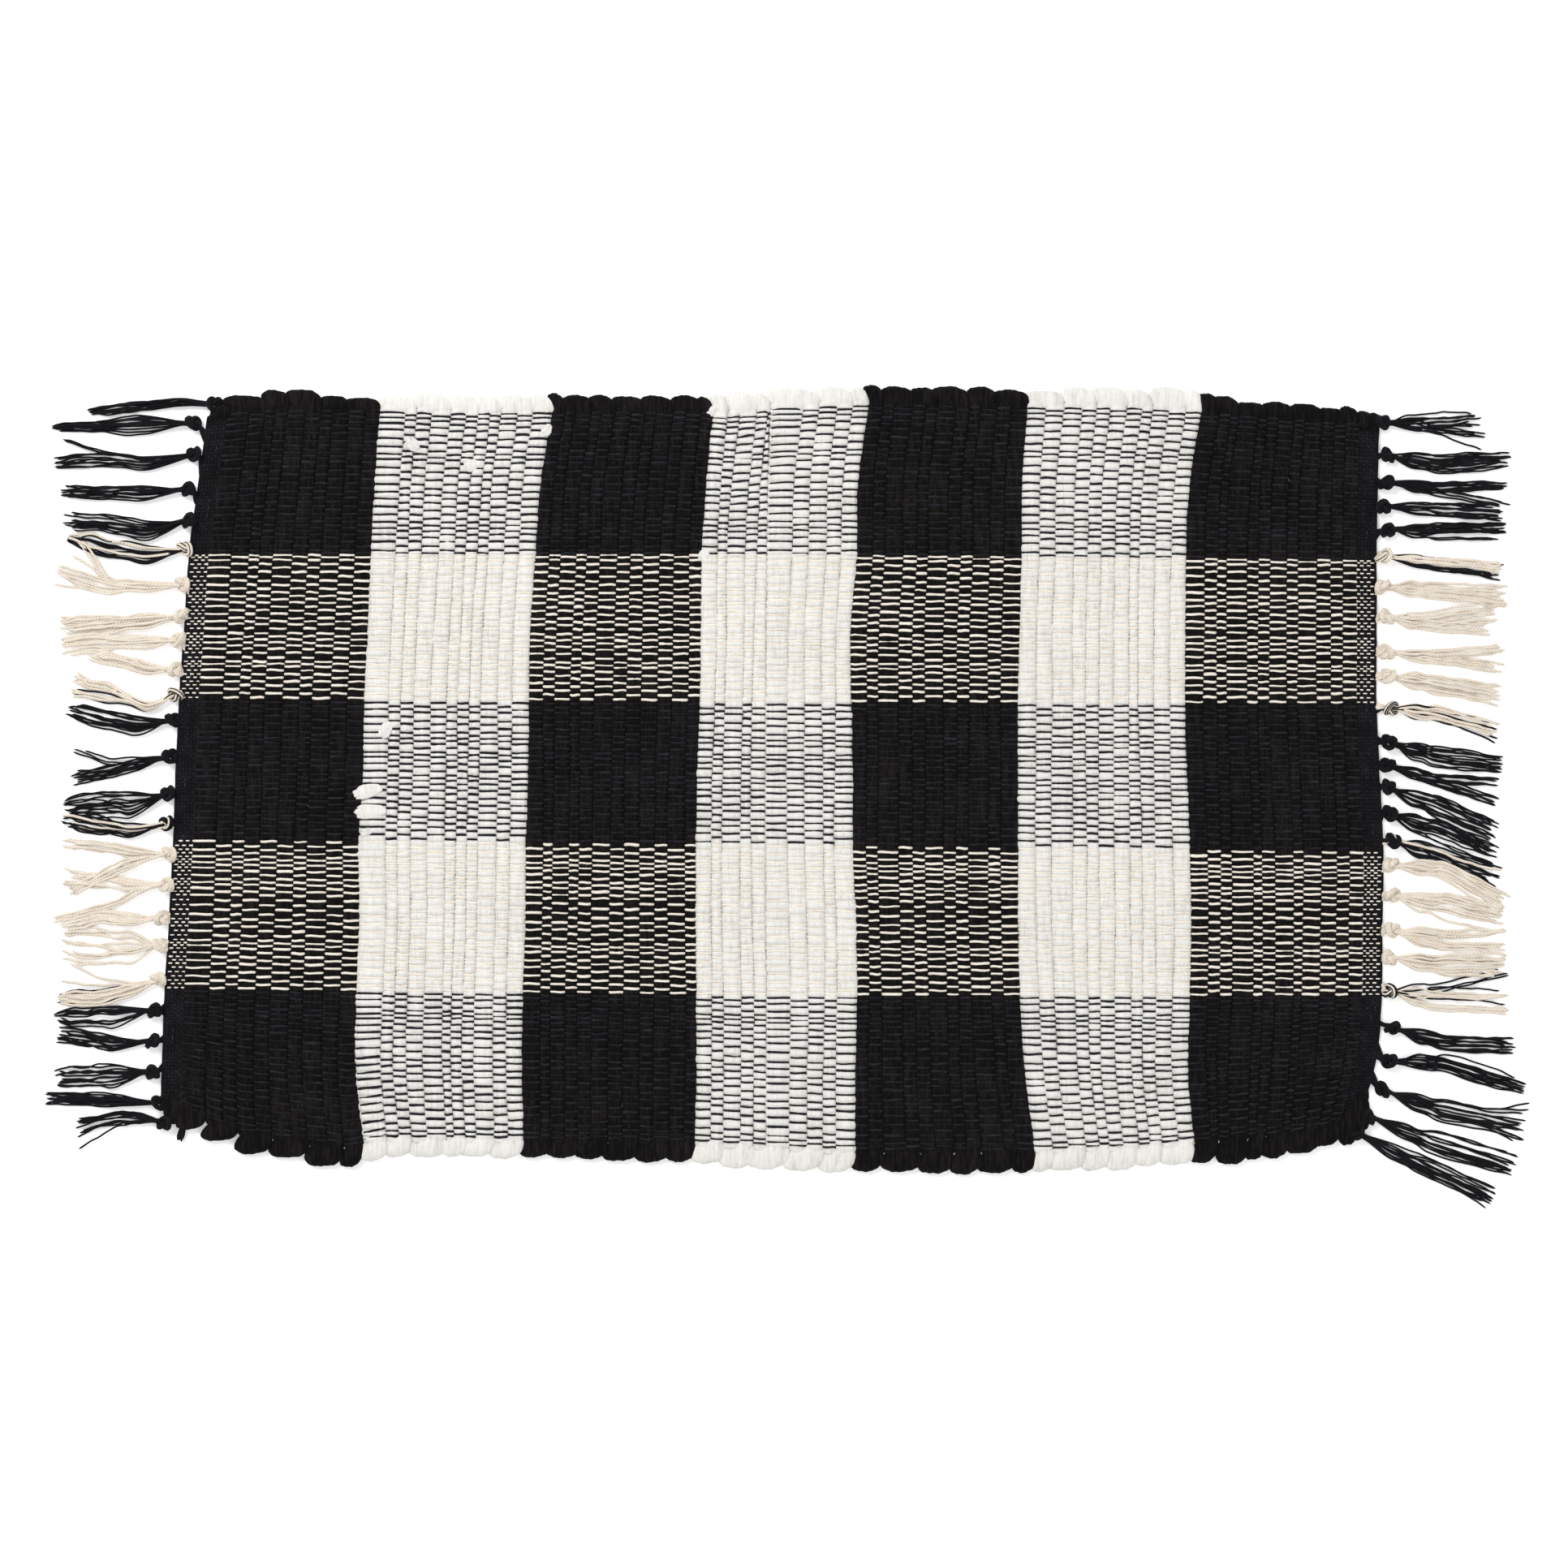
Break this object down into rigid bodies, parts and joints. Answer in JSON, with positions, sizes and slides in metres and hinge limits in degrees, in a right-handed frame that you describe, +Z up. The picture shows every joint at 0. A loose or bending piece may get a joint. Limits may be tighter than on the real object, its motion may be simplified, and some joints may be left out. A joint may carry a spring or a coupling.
{
  "type": "bath mat",
  "caption": "Hand-woven cotton rag bath mat in a black and white check, with knotted tassel fringes at both ends and a fold across the middle.",
  "frame": {"origin": "middle of the underside, halfway between the fringe tips and between the selvedges, on the surface the mat lies on", "axes": "+X along the warp, the long way of the mat; +Y across the mat along the rag weft; +Z up out of the top face"},
  "size_m": [0.996, 0.524, 0.008],
  "materials": {
    "black_rag": "matt pleated cotton rag, black",
    "white_rag": "matt pleated cotton rag, white",
    "black_yarn": "plied cotton warp yarn, black",
    "natural_yarn": "plied cotton warp yarn, natural cream",
    "black_heading_yarn": "fine black cotton heading weft",
    "black_tassel_yarn": "loose knotted cotton yarn, black",
    "natural_tassel_yarn": "loose knotted cotton yarn, natural cream"
  },
  "bodies": {
    "left_half": {"heading_left": "black_heading_yarn", "weft_black_1": "black_rag", "weft_white_1": "white_rag", "weft_black_2": "black_rag", "weft_white_2_left": "white_rag", "warp_black_1_left": "black_yarn", "warp_natural_1_left": "natural_yarn", "warp_black_2_left": "black_yarn", "warp_natural_2_left": "natural_yarn", "warp_black_3_left": "black_yarn"},
    "right_half": {"heading_right": "black_heading_yarn", "weft_white_2_right": "white_rag", "weft_black_3": "black_rag", "weft_white_3": "white_rag", "weft_black_4": "black_rag", "warp_black_1_right": "black_yarn", "warp_natural_1_right": "natural_yarn", "warp_black_2_right": "black_yarn", "warp_natural_2_right": "natural_yarn", "warp_black_3_right": "black_yarn"},
    "fringe_left_black_1": {"tassels_left_black_1": "black_tassel_yarn"},
    "fringe_left_natural_1": {"tassels_left_natural_1": "natural_tassel_yarn"},
    "fringe_left_black_2": {"tassels_left_black_2": "black_tassel_yarn"},
    "fringe_left_natural_2": {"tassels_left_natural_2": "natural_tassel_yarn"},
    "fringe_left_black_3": {"tassels_left_black_3": "black_tassel_yarn"},
    "fringe_right_black_1": {"tassels_right_black_1": "black_tassel_yarn"},
    "fringe_right_natural_1": {"tassels_right_natural_1": "natural_tassel_yarn"},
    "fringe_right_black_2": {"tassels_right_black_2": "black_tassel_yarn"},
    "fringe_right_natural_2": {"tassels_right_natural_2": "natural_tassel_yarn"},
    "fringe_right_black_3": {"tassels_right_black_3": "black_tassel_yarn"}
  },
  "joints": [
    {"name": "centre_fold", "type": "hinge", "parent": "left_half", "child": "right_half", "pos_m": [-0.0145, 0, 0.00815], "axis": [0, -1, 0], "range_deg": [0, 180]},
    {"name": "fringe_left_black_1_droop", "type": "hinge", "parent": "left_half", "child": "fringe_left_black_1", "pos_m": [-0.4042, 0, 0], "axis": [0.0617, 0.9981, 0], "range_deg": [-90, 0]},
    {"name": "fringe_left_natural_1_droop", "type": "hinge", "parent": "left_half", "child": "fringe_left_natural_1", "pos_m": [-0.4042, 0, 0], "axis": [0.0617, 0.9981, 0], "range_deg": [-90, 0]},
    {"name": "fringe_left_black_2_droop", "type": "hinge", "parent": "left_half", "child": "fringe_left_black_2", "pos_m": [-0.4042, 0, 0], "axis": [0.0617, 0.9981, 0], "range_deg": [-90, 0]},
    {"name": "fringe_left_natural_2_droop", "type": "hinge", "parent": "left_half", "child": "fringe_left_natural_2", "pos_m": [-0.4042, 0, 0], "axis": [0.0617, 0.9981, 0], "range_deg": [-90, 0]},
    {"name": "fringe_left_black_3_droop", "type": "hinge", "parent": "left_half", "child": "fringe_left_black_3", "pos_m": [-0.4042, 0, 0], "axis": [0.0617, 0.9981, 0], "range_deg": [-90, 0]},
    {"name": "fringe_right_black_1_droop", "type": "hinge", "parent": "right_half", "child": "fringe_right_black_1", "pos_m": [0.3942, 0, 0], "axis": [0, -1, 0], "range_deg": [-90, 0]},
    {"name": "fringe_right_natural_1_droop", "type": "hinge", "parent": "right_half", "child": "fringe_right_natural_1", "pos_m": [0.3942, 0, 0], "axis": [0, -1, 0], "range_deg": [-90, 0]},
    {"name": "fringe_right_black_2_droop", "type": "hinge", "parent": "right_half", "child": "fringe_right_black_2", "pos_m": [0.3942, 0, 0], "axis": [0, -1, 0], "range_deg": [-90, 0]},
    {"name": "fringe_right_natural_2_droop", "type": "hinge", "parent": "right_half", "child": "fringe_right_natural_2", "pos_m": [0.3942, 0, 0], "axis": [0, -1, 0], "range_deg": [-90, 0]},
    {"name": "fringe_right_black_3_droop", "type": "hinge", "parent": "right_half", "child": "fringe_right_black_3", "pos_m": [0.3942, 0, 0], "axis": [0, -1, 0], "range_deg": [-90, 0]}
  ]
}
